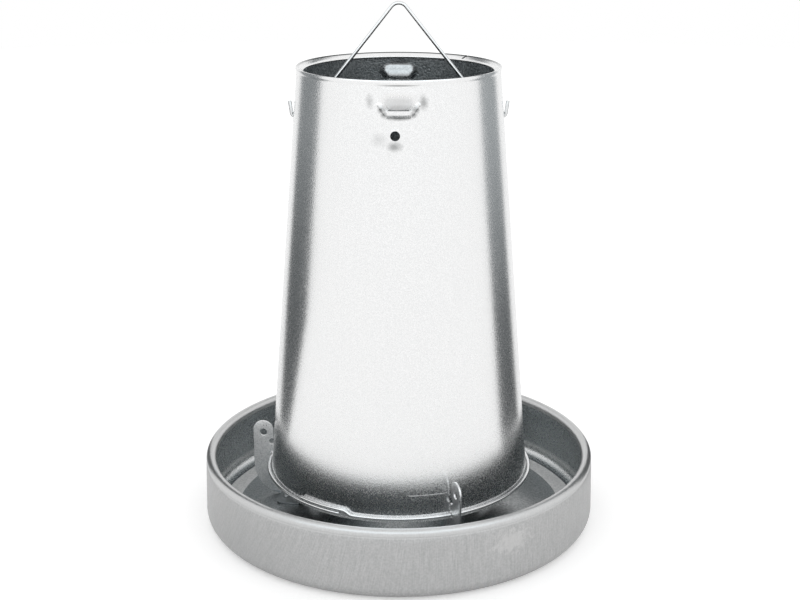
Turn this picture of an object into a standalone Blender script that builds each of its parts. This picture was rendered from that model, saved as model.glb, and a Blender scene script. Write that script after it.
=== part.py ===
"""Galvanized feed hopper: a round tray, a conical hopper held in it by three notched brackets and a
spring ring, and a wire hanger. Metres, +Z up, origin under the middle of the tray."""

import math

import bmesh
import bpy
from mathutils import Matrix, Vector

MM = 0.001

# Tray: one drawn sheet with a curled rim, standing on the ring outside its raised floor.
TRAY_WALL_RADIUS = 201.6 * MM
TRAY_WALL_TOP = (200.3 * MM, 60.0 * MM)
TRAY_CREASE = (199.6 * MM, 63.0 * MM)
TRAY_RIM_RADIUS = 200.0 * MM
TRAY_HEIGHT = 72.0 * MM
TRAY_CURL_RADIUS = 5.0 * MM
TRAY_CORNER_RADIUS = 13.5 * MM
TRAY_STAND_INNER = 184.4 * MM
TRAY_FLOOR_RISE = 1.6 * MM
TRAY_SHEET = 1.0 * MM

# Spreader cone, riveted to the tray floor by its flange; the brackets stand on its flat land.
CONE_BASE_RADIUS = 170.0 * MM
CONE_FLANGE_INNER = 161.0 * MM
CONE_FLANGE_TOP = 3.7 * MM
CONE_LAND_OUTER = 130.0 * MM
CONE_LAND_INNER = 96.0 * MM
CONE_LAND_TOP = 6.4 * MM
CONE_TIP_RADIUS = 13.0 * MM
CONE_TIP_TOP = 66.0 * MM
CONE_SHEET = 0.8 * MM
CONE_RIVET_CIRCLE = 165.5 * MM
CONE_RIVET_AZIMUTHS = (112.2, 232.2, 352.2)

# Hopper: rolled cone of sheet with a curled rim at the top and a hem at the foot.
HOPPER_TOP = 466.9 * MM
HOPPER_FOOT = 46.5 * MM
HOPPER_RIM_RADIUS = 99.2 * MM
HOPPER_CURL_RADII = (3.6 * MM, 2.5 * MM)
HOPPER_NECK_RADIUS = 98.4 * MM
HOPPER_NECK_HEIGHT = 461.8 * MM
HOPPER_SKIRT_RADIUS = 132.5 * MM
HOPPER_SKIRT_HEIGHT = 57.0 * MM
HOPPER_SHEET = 0.8 * MM
HEM_RADIUS = 133.4 * MM
SEAM_AZIMUTH = 46.0
SEAM_WIDTH = 9.0 * MM
SEAM_THICKNESS = 2.0 * MM
SEAM_LENGTH = 396.0 * MM

# Pressed lugs at the front and back of the neck, and four holes round it.
LUG_TOP = 461.0 * MM
LUG_SHELF_TOP = 457.0 * MM
LUG_SHELF_BOTTOM = 449.0 * MM
LUG_SLIT_TOP = 441.6 * MM
LUG_SLIT_BOTTOM = 439.8 * MM
LUG_LIP = 436.2 * MM
LUG_BOTTOM = 431.6 * MM
LUG_SLIT_HALF_WIDTH = 10.0 * MM
LUG_SHOULDER_HALF_WIDTH = 15.0 * MM
LUG_HALF_WIDTH = 21.0 * MM
LUG_PRESSED_IN = 5.0 * MM
LUG_PRESSED_OUT = 3.6 * MM
NECK_HOLE_HEIGHT = 416.8 * MM
NECK_HOLE_RADIUS = 4.5 * MM
NECK_HOLE_AZIMUTHS = (0.0, 90.0, 180.0, 268.2)

# Notched brackets, at equal angles from the one on the left.
BRACKET_AZIMUTHS = {"left": 172.2, "front": 292.2, "rear": 52.2}
BRACKET_SHEET = 2.0 * MM
BRACKET_INNER = 134.2 * MM
BRACKET_OUTER = 155.5 * MM
BRACKET_TOP = 89.5 * MM
BRACKET_EYE_HEIGHT = 76.6 * MM
BRACKET_EYE_RADIUS = 3.9 * MM
NOTCH_RADIUS = 3.3 * MM
NOTCH_SPACING = 14.5 * MM
SHOULDER_TOP = 46.2 * MM
SHOULDER_INNER = 127.2 * MM
ARM_BOTTOM = 6.7 * MM
ARM_TOP = 24.0 * MM
ARM_INNER = 98.0 * MM
ARM_BEND_INNER = 125.5 * MM
ARM_BEND_HEIGHT = 40.5 * MM
FOOT_REACH = 20.0 * MM
FOOT_INNER = 99.0 * MM
FOOT_OUTER = 125.0 * MM
FOOT_RIVET_OFFSET = 11.0 * MM
FOOT_RIVET_RADII = (105.0 * MM, 119.0 * MM)

# Retaining ring: split spring wire in the lower notches, its ends lapped one on the other.
RING_RADIUS = 135.8 * MM
RING_WIRE_RADIUS = 1.9 * MM
RING_HEIGHT = 51.8 * MM
RING_LAP_START = 224.0
RING_LAP_END = 244.0
RING_CLIMB = 7.0
RING_STEP = 5.0

# Hanger: one wire bent to an upturned V, its ends hooked out through the neck holes.
HANGER_WIRE_RADIUS = 1.75 * MM
HANGER_APEX = 530.6 * MM
HANGER_KNEE = (61.0 * MM, 453.8 * MM)
HANGER_HEEL = 94.0 * MM
HANGER_ELBOW = 103.7 * MM
HANGER_TIP = (105.7 * MM, 432.0 * MM)
HANGER_APEX_BEND = 9.0 * MM
HANGER_KNEE_BEND = 60.0 * MM
HANGER_HEEL_BEND = 6.0 * MM
HANGER_ELBOW_BEND = 4.0 * MM

# Rivets: a domed head on top, a shank and a flattened tail.
RIVET_HEAD_RADIUS = 3.6 * MM
RIVET_HEAD_HEIGHT = 1.8 * MM
RIVET_SHANK_RADIUS = 1.6 * MM
RIVET_TAIL_RADIUS = 2.8 * MM
RIVET_TAIL_HEIGHT = 0.9 * MM
RIVET_HOLE_RADIUS = 1.9 * MM

GAP = 0.3 * MM
ROUND_STEPS = 64
CONE_STEPS = 48
SLICE = 0.00001

SHEET_COLOUR = (0.60, 0.61, 0.62)
TRAY_COLOUR = (0.57, 0.58, 0.59)
WIRE_COLOUR = (0.66, 0.67, 0.68)


def clear_scene():
    for item in list(bpy.data.objects):
        bpy.data.objects.remove(item, do_unlink=True)


def make_collection(name):
    collection = bpy.data.collections.new(name)
    bpy.context.scene.collection.children.link(collection)
    return collection


def metal(name, colour, roughness):
    material = bpy.data.materials.new(name)
    material.use_nodes = True
    shader = material.node_tree.nodes["Principled BSDF"]
    shader.inputs["Base Color"].default_value = (*colour, 1.0)
    shader.inputs["Roughness"].default_value = roughness
    shader.inputs["Metallic"].default_value = 1.0
    return material


def add_object(name, data, collection, material):
    item = bpy.data.objects.new(name, data)
    item.data.materials.append(material)
    collection.objects.link(item)
    return item


def smooth_mesh(name, shape):
    """Turn a bmesh into a mesh that is shaded smooth except at its sharp edges."""
    mesh = bpy.data.meshes.new(name)
    shape.to_mesh(mesh)
    shape.free()
    mesh.shade_smooth()
    mesh.set_sharp_from_angle(angle=math.radians(35))
    return mesh


def evaluated_mesh(item, name):
    """The object's mesh with its modifiers applied, or a curve made a mesh, with doubles merged."""
    bpy.context.view_layer.update()
    graph = bpy.context.evaluated_depsgraph_get()
    mesh = bpy.data.meshes.new_from_object(item.evaluated_get(graph), depsgraph=graph)
    mesh.name = name
    shape = bmesh.new()
    shape.from_mesh(mesh)
    bmesh.ops.remove_doubles(shape, verts=shape.verts, dist=SLICE)
    shape.to_mesh(mesh)
    shape.free()
    return mesh


def arc(centre, radii, start, end, count):
    """Points of an arc round (x, y) from one angle to another in degrees, with a radius for each axis."""
    points = []
    for step in range(count + 1):
        angle = math.radians(start + (end - start) * step / count)
        points.append((centre[0] + radii[0] * math.cos(angle), centre[1] + radii[1] * math.sin(angle)))
    return points


def add_turned(name, profile, steps, collection, material):
    """An object whose (radius, height) profile is turned round Z; it runs down the outer side."""
    mesh = bpy.data.meshes.new(name)
    corners = [(radius, 0.0, height) for radius, height in profile]
    mesh.from_pydata(corners, [(start, start + 1) for start in range(len(corners) - 1)], [])
    item = add_object(name, mesh, collection, material)
    turn = item.modifiers.new("turn", "SCREW")
    turn.axis = "Z"
    turn.angle = math.tau
    turn.steps = steps
    turn.render_steps = steps
    turn.use_merge_vertices = True
    turn.merge_threshold = SLICE
    turn.use_smooth_shade = True
    return item


def add_sheet(item, thickness):
    """Give an open surface its sheet thickness, on the inner side."""
    sheet = item.modifiers.new("sheet", "SOLIDIFY")
    sheet.thickness = thickness
    sheet.offset = -1.0
    sheet.use_even_offset = True


def add_boolean(item, cutter, operation):
    boolean = item.modifiers.new(cutter.name, "BOOLEAN")
    boolean.operation = operation
    boolean.object = cutter


def add_cutter(name, mesh, matrix, collection):
    cutter = bpy.data.objects.new(name, mesh)
    cutter.matrix_world = matrix
    cutter.hide_render = True
    cutter.display_type = "WIRE"
    collection.objects.link(cutter)
    return cutter


def drill(item, name, radius, length, sides, matrix, collection):
    """Cut a round hole along the Z axis of the given placement."""
    shape = bmesh.new()
    bmesh.ops.create_cone(
        shape, cap_ends=True, segments=sides, radius1=radius, radius2=radius, depth=length
    )
    cutter = add_cutter(name, smooth_mesh(name, shape), matrix, collection)
    add_boolean(item, cutter, "DIFFERENCE")


def box_mesh(name, low, high):
    shape = bmesh.new()
    bmesh.ops.create_cube(shape, size=1.0)
    size = Vector(high) - Vector(low)
    bmesh.ops.scale(shape, vec=size, verts=shape.verts)
    bmesh.ops.translate(shape, vec=(Vector(high) + Vector(low)) / 2, verts=shape.verts)
    return smooth_mesh(name, shape)


def turned_to(azimuth):
    return Matrix.Rotation(math.radians(azimuth), 4, "Z")


def build_tray(parts, cutters):
    """The tray: curled rim, upright wall, rounded corner, standing ring and raised floor."""
    curl = (TRAY_RIM_RADIUS - TRAY_CURL_RADIUS, TRAY_HEIGHT - TRAY_CURL_RADIUS)
    profile = arc(curl, (TRAY_CURL_RADIUS,) * 2, 240, -30, 9)
    profile += [TRAY_CREASE, TRAY_WALL_TOP]
    corner = (TRAY_WALL_RADIUS - TRAY_CORNER_RADIUS, TRAY_CORNER_RADIUS)
    profile += arc(corner, (TRAY_CORNER_RADIUS,) * 2, 0, -90, 6)
    profile.append((TRAY_STAND_INNER, 0.0))
    profile.append((TRAY_STAND_INNER - TRAY_FLOOR_RISE, TRAY_FLOOR_RISE))
    profile.append((0.0, TRAY_FLOOR_RISE))
    tray = add_turned("tray_pan", profile, ROUND_STEPS, parts, metal("tray_satin", TRAY_COLOUR, 0.42))
    add_sheet(tray, TRAY_SHEET)
    for number, azimuth in enumerate(CONE_RIVET_AZIMUTHS, 1):
        place = turned_to(azimuth) @ Matrix.Translation((CONE_RIVET_CIRCLE, 0.0, TRAY_FLOOR_RISE))
        drill(tray, f"floor_hole_{number}", RIVET_HOLE_RADIUS, 6 * MM, 12, place, cutters)


def build_cone(parts, cutters):
    """The spreader cone: flange, shallow skirt, flat land and the steep middle cone."""
    profile = [
        (0.0, CONE_TIP_TOP),
        (0.6 * CONE_TIP_RADIUS, CONE_TIP_TOP - 1.6 * MM),
        (CONE_TIP_RADIUS, CONE_TIP_TOP - 6.0 * MM),
        (CONE_LAND_INNER, CONE_LAND_TOP),
        (CONE_LAND_OUTER, CONE_LAND_TOP),
        (CONE_FLANGE_INNER, CONE_FLANGE_TOP),
        (CONE_BASE_RADIUS, CONE_FLANGE_TOP),
    ]
    cone = add_turned("spreader_cone", profile, CONE_STEPS, parts, metal("cone_sheet", SHEET_COLOUR, 0.3))
    add_sheet(cone, CONE_SHEET)
    for number, azimuth in enumerate(CONE_RIVET_AZIMUTHS, 1):
        place = turned_to(azimuth) @ Matrix.Translation((CONE_RIVET_CIRCLE, 0.0, CONE_FLANGE_TOP))
        drill(cone, f"flange_hole_{number}", RIVET_HOLE_RADIUS, 6 * MM, 12, place, cutters)
    for side, azimuth in BRACKET_AZIMUTHS.items():
        for number, radius in enumerate(FOOT_RIVET_RADII, 1):
            spot = Matrix.Translation((radius, FOOT_RIVET_OFFSET, CONE_LAND_TOP))
            place = turned_to(azimuth) @ spot
            drill(cone, f"land_hole_{side}_{number}", RIVET_HOLE_RADIUS, 6 * MM, 12, place, cutters)


def add_rivet(name, grip_top, grip_bottom, spot, material, parts):
    """One rivet, its head on grip_top and its tail under grip_bottom, each a hair clear of the sheet."""
    head = grip_top + GAP
    tail = grip_bottom - GAP
    profile = [(0.0, head + RIVET_HEAD_HEIGHT)]
    profile += arc((0.0, head), (RIVET_HEAD_RADIUS, RIVET_HEAD_HEIGHT), 60, 0, 2)
    profile.append((RIVET_SHANK_RADIUS, head))
    profile.append((RIVET_SHANK_RADIUS, tail))
    profile.append((RIVET_TAIL_RADIUS, tail))
    profile.append((0.8 * RIVET_TAIL_RADIUS, tail - RIVET_TAIL_HEIGHT))
    profile.append((0.0, tail - RIVET_TAIL_HEIGHT))
    rivet = add_turned(name, profile, 12, parts, material)
    rivet.matrix_world = spot


def build_cone_rivets(parts):
    steel = metal("cone_rivet_steel", WIRE_COLOUR, 0.35)
    for number, azimuth in enumerate(CONE_RIVET_AZIMUTHS, 1):
        spot = turned_to(azimuth) @ Matrix.Translation((CONE_RIVET_CIRCLE, 0.0, 0.0))
        add_rivet(f"cone_rivet_{number}", CONE_FLANGE_TOP, TRAY_FLOOR_RISE, spot, steel, parts)


def notch(height):
    """An open notch in the bracket's inner edge, drawn from its upper corner round to its lower one."""
    depth = RING_RADIUS - BRACKET_INNER
    corner = math.degrees(math.acos(-depth / NOTCH_RADIUS))
    return arc((RING_RADIUS, height), (NOTCH_RADIUS,) * 2, corner, -corner, 10)


def bracket_outline():
    """The plate seen from its side, as (radius, height), anticlockwise from the foot's inner end."""
    half_width = (BRACKET_OUTER - BRACKET_INNER) / 2
    crown = ((BRACKET_OUTER + BRACKET_INNER) / 2, BRACKET_TOP - half_width)
    bend = (BRACKET_OUTER - ARM_BEND_INNER, ARM_BEND_HEIGHT - ARM_BOTTOM)
    outline = [(ARM_INNER, ARM_BOTTOM)]
    outline += arc((ARM_BEND_INNER, ARM_BEND_HEIGHT), bend, -90, 0, 9)
    outline += arc(crown, (half_width,) * 2, 0, 180, 12)
    outline += notch(RING_HEIGHT + NOTCH_SPACING)
    outline += notch(RING_HEIGHT)
    outline.append((BRACKET_INNER, SHOULDER_TOP))
    outline.append((SHOULDER_INNER, SHOULDER_TOP))
    waist = (SHOULDER_INNER - ARM_INNER, SHOULDER_TOP - ARM_TOP)
    outline += arc((ARM_INNER, SHOULDER_TOP), waist, -15, -90, 5)
    return outline


def add_spline(curve, points, cyclic):
    spline = curve.splines.new("POLY")
    spline.points.add(len(points) - 1)
    for spline_point, place in zip(spline.points, points):
        spline_point.co = (*place, 1.0) if len(place) == 3 else (*place, 0.0, 1.0)
    spline.use_cyclic_u = cyclic


def bracket_plate_mesh():
    """The upright plate as a mesh, in its own plane: X outwards, Y its thickness, Z up."""
    curve = bpy.data.curves.new("bracket_plate", "CURVE")
    curve.dimensions = "2D"
    curve.fill_mode = "BOTH"
    curve.extrude = BRACKET_SHEET / 2
    add_spline(curve, bracket_outline(), True)
    middle = (BRACKET_OUTER + BRACKET_INNER) / 2
    add_spline(curve, arc((middle, BRACKET_EYE_HEIGHT), (BRACKET_EYE_RADIUS,) * 2, 0, 337.5, 15), True)
    flat = bpy.data.objects.new("bracket_plate", curve)
    bpy.context.scene.collection.objects.link(flat)
    mesh = evaluated_mesh(flat, "bracket_plate")
    mesh.transform(Matrix.Rotation(math.radians(90), 4, "X"))
    bpy.data.objects.remove(flat, do_unlink=True)
    return mesh


def build_brackets(parts, cutters):
    """Three plates on edge, each with a foot folded to one side and two rivets through it."""
    plate = bracket_plate_mesh()
    foot_low = (FOOT_INNER, 0.0, ARM_BOTTOM)
    foot_high = (FOOT_OUTER, FOOT_REACH, ARM_BOTTOM + BRACKET_SHEET)
    foot = box_mesh("bracket_foot", foot_low, foot_high)
    for side, azimuth in BRACKET_AZIMUTHS.items():
        place = turned_to(azimuth)
        steel = metal(f"bracket_steel_{side}", SHEET_COLOUR, 0.35)
        bracket = add_object(f"adjuster_bracket_{side}", plate.copy(), parts, steel)
        bracket.matrix_world = place
        cutter = add_cutter(f"bracket_foot_{side}", foot, place, cutters)
        add_boolean(bracket, cutter, "UNION")
        for number, radius in enumerate(FOOT_RIVET_RADII, 1):
            spot = place @ Matrix.Translation((radius, FOOT_RIVET_OFFSET, 0.0))
            hole = spot @ Matrix.Translation((0.0, 0.0, ARM_BOTTOM))
            drill(bracket, f"foot_hole_{side}_{number}", RIVET_HOLE_RADIUS, 8 * MM, 12, hole, cutters)
            top = ARM_BOTTOM + BRACKET_SHEET
            bottom = CONE_LAND_TOP - CONE_SHEET
            add_rivet(f"bracket_rivet_{side}_{number}", top, bottom, spot, steel, parts)


def ring_point(azimuth, height):
    angle = math.radians(azimuth)
    return (RING_RADIUS * math.cos(angle), RING_RADIUS * math.sin(angle), height)


def add_wire(name, points, radius, collection, material):
    curve = bpy.data.curves.new(name, "CURVE")
    curve.dimensions = "3D"
    curve.bevel_depth = radius
    curve.bevel_resolution = 2
    curve.use_fill_caps = True
    add_spline(curve, points, False)
    return add_object(name, curve, collection, material)


def build_ring(parts):
    """The ring runs once round and laps over its own start, one wire's thickness higher."""
    upper = RING_HEIGHT + 2 * RING_WIRE_RADIUS + GAP
    points = []
    azimuth = RING_LAP_START
    finish = RING_LAP_END + 360.0
    while azimuth < finish:
        share = min(max((azimuth - RING_LAP_END) / RING_CLIMB, 0.0), 1.0)
        eased = 0.5 - 0.5 * math.cos(math.pi * share)
        points.append(ring_point(azimuth, upper + (RING_HEIGHT - upper) * eased))
        azimuth += RING_CLIMB / 4 if 0.0 < share < 1.0 else RING_STEP
    points.append(ring_point(finish, RING_HEIGHT))
    add_wire("retaining_ring", points, RING_WIRE_RADIUS, parts, metal("ring_wire", WIRE_COLOUR, 0.22))


def lug_press(across, height):
    """How far a lug stands out of the wall: pressed in above its slit and out below it."""
    if across <= LUG_SLIT_HALF_WIDTH:
        fade = 1.0
    elif across <= LUG_SHOULDER_HALF_WIDTH:
        fade = 0.6
    else:
        fade = 0.0
    rows = {
        LUG_TOP: 0.0,
        LUG_SHELF_TOP: -0.15 * LUG_PRESSED_IN,
        LUG_SHELF_BOTTOM: -LUG_PRESSED_IN,
        LUG_SLIT_TOP: -LUG_PRESSED_IN,
        LUG_SLIT_BOTTOM: 0.8 * LUG_PRESSED_OUT,
        LUG_LIP: LUG_PRESSED_OUT,
        LUG_BOTTOM: 0.0,
    }
    nearest = min(rows, key=lambda row: abs(row - height))
    depth = rows[nearest]
    if across > LUG_SLIT_HALF_WIDTH and nearest == LUG_SLIT_TOP:
        depth *= 0.3
    return depth * fade


def slice_faces(shape, faces, point, normal):
    """Cut some faces along a plane and return all the faces that they became."""
    edges = {edge for face in faces for edge in face.edges}
    corners = {corner for face in faces for corner in face.verts}
    cut = bmesh.ops.bisect_plane(
        shape,
        geom=list(faces) + list(edges) + list(corners),
        dist=SLICE,
        plane_co=point,
        plane_no=normal,
    )
    return [item for item in cut["geom"] if isinstance(item, bmesh.types.BMFace)]


def press_lug(shape, side):
    """Slice the wall where a lug is, open its slit and press its strips; side is -1 front or 1 back."""
    half = LUG_HALF_WIDTH

    def near(face):
        middle = face.calc_center_median()
        return abs(middle.x) < half + 6 * MM and middle.y * side > 0 and len(face.verts) == 4

    wall = [face for face in shape.faces if near(face) and face.calc_area() > 1000 * MM * MM]
    for row in (LUG_TOP, LUG_BOTTOM):
        wall = slice_faces(shape, wall, (0.0, 0.0, row), (0.0, 0.0, 1.0))
    zone = [face for face in wall if LUG_BOTTOM < face.calc_center_median().z < LUG_TOP]
    for across in (-half, -LUG_SHOULDER_HALF_WIDTH, -LUG_SLIT_HALF_WIDTH):
        for place in (across, -across):
            zone = slice_faces(shape, zone, (place, 0.0, 0.0), (1.0, 0.0, 0.0))
    for row in (LUG_SHELF_TOP, LUG_SHELF_BOTTOM, LUG_SLIT_TOP, LUG_SLIT_BOTTOM, LUG_LIP):
        zone = slice_faces(shape, zone, (0.0, 0.0, row), (0.0, 0.0, 1.0))
    slit = []
    for face in zone:
        middle = face.calc_center_median()
        if abs(middle.x) < LUG_SLIT_HALF_WIDTH and LUG_SLIT_BOTTOM < middle.z < LUG_SLIT_TOP:
            slit.append(face)
    for corner in {corner for face in zone for corner in face.verts}:
        corner.co.y += side * lug_press(abs(corner.co.x) - SLICE, corner.co.z)
    bmesh.ops.delete(shape, geom=slit, context="FACES")


def wall_radius(height):
    """Outer radius of the hopper's straight wall at a height."""
    share = (height - HOPPER_SKIRT_HEIGHT) / (HOPPER_NECK_HEIGHT - HOPPER_SKIRT_HEIGHT)
    return HOPPER_SKIRT_RADIUS + (HOPPER_NECK_RADIUS - HOPPER_SKIRT_RADIUS) * share


def build_hopper(parts, cutters):
    """The hopper: turned cone, pressed lugs, sheet thickness, side seam and neck holes."""
    curl = (HOPPER_RIM_RADIUS - HOPPER_CURL_RADII[0], HOPPER_TOP - HOPPER_CURL_RADII[1])
    profile = arc(curl, HOPPER_CURL_RADII, 240, 0, 8)
    profile.append((HOPPER_NECK_RADIUS, HOPPER_NECK_HEIGHT))
    profile.append((HOPPER_SKIRT_RADIUS, HOPPER_SKIRT_HEIGHT))
    profile.append((HEM_RADIUS, HOPPER_SKIRT_HEIGHT - 1.0 * MM))
    profile.append((HEM_RADIUS, HOPPER_FOOT + 1.0 * MM))
    profile.append((HEM_RADIUS - 0.6 * MM, HOPPER_FOOT))
    steel = metal("hopper_sheet", SHEET_COLOUR, 0.25)
    plain = add_turned("hopper_blank", profile, ROUND_STEPS, parts, steel)
    shape = bmesh.new()
    shape.from_mesh(evaluated_mesh(plain, "hopper_blank"))
    bpy.data.objects.remove(plain, do_unlink=True)
    for side in (-1, 1):
        press_lug(shape, side)
    hopper = add_object("hopper_body", smooth_mesh("hopper_body", shape), parts, steel)
    add_sheet(hopper, HOPPER_SHEET)

    middle = (HOPPER_NECK_HEIGHT + HOPPER_SKIRT_HEIGHT) / 2
    lean = math.atan2(HOPPER_SKIRT_RADIUS - HOPPER_NECK_RADIUS, HOPPER_NECK_HEIGHT - HOPPER_SKIRT_HEIGHT)
    half = Vector((SEAM_THICKNESS, SEAM_WIDTH, SEAM_LENGTH)) / 2
    spot = Matrix.Translation((wall_radius(middle) + 0.1 * MM, 0.0, middle))
    place = turned_to(SEAM_AZIMUTH) @ spot @ Matrix.Rotation(-lean, 4, "Y")
    seam = add_cutter("side_seam", box_mesh("side_seam", -half, half), place, cutters)
    add_boolean(hopper, seam, "UNION")

    sideways = Matrix.Rotation(math.radians(90), 4, "Y")
    for number, azimuth in enumerate(NECK_HOLE_AZIMUTHS):
        spot = Matrix.Translation((wall_radius(NECK_HOLE_HEIGHT), 0.0, NECK_HOLE_HEIGHT))
        place = turned_to(azimuth) @ spot @ sideways
        drill(hopper, f"neck_hole_{number}", NECK_HOLE_RADIUS, 12 * MM, 16, place, cutters)


def rounded_path(corners, bends, count):
    """Points along straight runs in the XZ plane whose inner corners are rounded to given radii."""
    points = [Vector(corners[0])]
    for before, corner, after, radius in zip(corners, corners[1:], corners[2:], bends):
        here = Vector(corner)
        back = (Vector(before) - here).normalized()
        ahead = (Vector(after) - here).normalized()
        half_angle = back.angle(ahead) / 2
        inset = radius / math.tan(half_angle)
        centre = here + (back + ahead).normalized() * (radius / math.sin(half_angle))
        start = here + back * inset - centre
        sweep = math.pi - 2 * half_angle
        for step in range(count + 1):
            share = step / count
            weight_start = math.sin((1 - share) * sweep) / math.sin(sweep)
            finish = here + ahead * inset - centre
            weight_end = math.sin(share * sweep) / math.sin(sweep)
            points.append(centre + start * weight_start + finish * weight_end)
    points.append(Vector(corners[-1]))
    return points


def build_hanger(parts):
    """The hanger turns about the line through the left and right neck holes."""
    right = [
        HANGER_KNEE,
        (HANGER_HEEL, NECK_HOLE_HEIGHT),
        (HANGER_ELBOW, NECK_HOLE_HEIGHT),
        HANGER_TIP,
    ]
    left = [(-across, height) for across, height in reversed(right)]
    bends = [HANGER_ELBOW_BEND, HANGER_HEEL_BEND, HANGER_KNEE_BEND]
    path = rounded_path(left + [(0.0, HANGER_APEX)] + right, bends + [HANGER_APEX_BEND] + bends[::-1], 6)
    points = [(point.x, 0.0, point.y - NECK_HOLE_HEIGHT) for point in path]
    hanger = add_wire("hanger_bail", points, HANGER_WIRE_RADIUS, parts, metal("bail_wire", WIRE_COLOUR, 0.2))
    hanger.location.z = NECK_HOLE_HEIGHT


def main():
    clear_scene()
    parts = make_collection("feed_hopper")
    cutters = make_collection("cutters")
    build_tray(parts, cutters)
    build_cone(parts, cutters)
    build_cone_rivets(parts)
    build_brackets(parts, cutters)
    build_ring(parts)
    build_hopper(parts, cutters)
    build_hanger(parts)


main()
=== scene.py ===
import math

import bmesh
import bpy
from mathutils import Matrix, Vector


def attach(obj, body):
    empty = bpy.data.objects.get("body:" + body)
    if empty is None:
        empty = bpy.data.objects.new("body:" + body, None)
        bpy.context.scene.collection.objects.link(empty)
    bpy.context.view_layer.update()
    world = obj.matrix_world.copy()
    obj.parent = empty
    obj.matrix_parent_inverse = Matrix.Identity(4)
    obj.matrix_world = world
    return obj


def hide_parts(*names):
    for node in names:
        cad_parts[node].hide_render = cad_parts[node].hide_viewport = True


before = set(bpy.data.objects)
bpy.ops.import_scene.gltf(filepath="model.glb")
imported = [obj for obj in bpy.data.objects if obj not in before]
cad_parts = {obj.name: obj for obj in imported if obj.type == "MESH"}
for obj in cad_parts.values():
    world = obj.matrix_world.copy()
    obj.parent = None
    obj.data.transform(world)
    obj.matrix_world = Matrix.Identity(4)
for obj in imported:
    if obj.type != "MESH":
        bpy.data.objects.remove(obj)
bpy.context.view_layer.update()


# Studio. A camera at the photograph's height and tilt, a plain white floor and an even white dome of
# light. Cards that only shiny metal reflects stand round the object: a dark one at each side, a dark
# one high at the back for thin dark outlines, and a bright one high in front for the highlights.
CAMERA_PLACE = (0.0012, -1.330, 0.6528)
CAMERA_TILT_DOWN = 17.66
CAMERA_LENS = 61.97
SENSOR_WIDTH = 36.0
SHARP_EDGE = 32.0
FLOOR_RADIUS = 4.0
FLOOR_GREY = (0.86, 0.86, 0.86, 1.0)
FLOOR_GLOW_SEEN = 0.3
FLOOR_GLOW_REFLECTED = 0.14
CARD_COLOUR = (0.94, 1.0, 1.03, 1.0)
CARD_FACETS = 12
CARDS = {
    "card_left": {
        "span": (-118.0, -79.5), "foot_span": (-114.0, -95.0), "knee": 0.2, "distance": 0.27,
        "heights": (0.045, 0.62), "tones": [(0.16, 0.105), (0.27, 0.14), (0.40, 0.25)],
    },
    "card_right": {
        "span": (83.0, 116.0), "distance": 0.27, "heights": (0.045, 0.62),
        "tones": [(0.08, 0.095), (0.19, 0.14), (0.29, 0.26), (0.40, 0.36)],
    },
    "card_back": {
        "span": (152.0, 208.0), "distance": 1.2, "heights": (1.05, 1.55),
        "tones": [(1.0, 0.2), (1.6, 0.2)],
    },
    "card_top": {
        "span": (-62.0, 62.0), "distance": 1.9, "heights": (0.85, 2.9),
        "tones": [(0.8, 1.55), (2.9, 1.55)],
    },
}


def add_node(tree, kind, inputs=None, **settings):
    """A shader node with its settings made and its inputs set or linked."""
    node = tree.nodes.new(kind)
    for setting, value in settings.items():
        setattr(node, setting, value)
    for name, value in (inputs or {}).items():
        if isinstance(value, bpy.types.NodeSocket):
            tree.links.new(value, node.inputs[name])
        else:
            node.inputs[name].default_value = value
    return node


def maths(tree, operation, first, second=0.5, third=0.5):
    """The result of a sum on one, two or three values."""
    return add_node(tree, "ShaderNodeMath", {0: first, 1: second, 2: third}, operation=operation).outputs[0]


def most(tree, values):
    """The largest of some values."""
    largest = values[0]
    for value in values[1:]:
        largest = maths(tree, "MAXIMUM", largest, value)
    return largest


def spread(tree, value, low, high, to_low=0.0, to_high=1.0):
    """A value remapped from one range to another and clamped."""
    return add_node(
        tree, "ShaderNodeMapRange",
        {"Value": value, "From Min": low, "From Max": high, "To Min": to_low, "To Max": to_high},
    ).outputs[0]


def surface_place(tree):
    """Where the surface is, in Object coordinates."""
    return add_node(tree, "ShaderNodeTexCoord").outputs["Object"]


def axes(tree, vector):
    """The X, Y and Z of a vector."""
    x, y, z = add_node(tree, "ShaderNodeSeparateXYZ", {0: vector}).outputs
    return x, y, z


def rays(tree, *kinds):
    """A value of 1 for the given kinds of light ray and 0 for the rest."""
    path = add_node(tree, "ShaderNodeLightPath")
    return most(tree, [path.outputs[kind] for kind in kinds])


def bare_paint(name):
    """A material and its tree, with nothing in it yet."""
    paint = bpy.data.materials.new(name)
    paint.use_nodes = True
    paint.node_tree.nodes.clear()
    return paint, paint.node_tree


def smoothed(mesh):
    """A mesh shaded smooth but for its sharp edges."""
    mesh.shade_smooth()
    mesh.set_sharp_from_angle(angle=math.radians(SHARP_EDGE))
    return mesh


def object_from(name, shape):
    """An object made from a bmesh, which is used up."""
    mesh = bpy.data.meshes.new(name)
    shape.to_mesh(mesh)
    shape.free()
    piece = bpy.data.objects.new(name, smoothed(mesh))
    bpy.context.scene.collection.objects.link(piece)
    return piece


camera_data = bpy.data.cameras.new("camera")
camera_data.sensor_width = SENSOR_WIDTH
camera_data.lens = CAMERA_LENS
camera = bpy.data.objects.new("camera", camera_data)
camera.location = CAMERA_PLACE
camera.rotation_euler = (math.radians(90.0 - CAMERA_TILT_DOWN), 0.0, 0.0)
bpy.context.scene.collection.objects.link(camera)
bpy.context.scene.camera = camera
bpy.context.scene.view_settings.view_transform = "Standard"

dome = bpy.data.worlds.new("dome")
bpy.context.scene.world = dome
dome.use_nodes = True
tree = dome.node_tree
tree.nodes.clear()
dome_light = add_node(tree, "ShaderNodeBackground", {"Color": (1.0, 1.0, 1.0, 1.0), "Strength": 1.0})
add_node(tree, "ShaderNodeOutputWorld", {"Surface": dome_light.outputs[0]})

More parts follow.
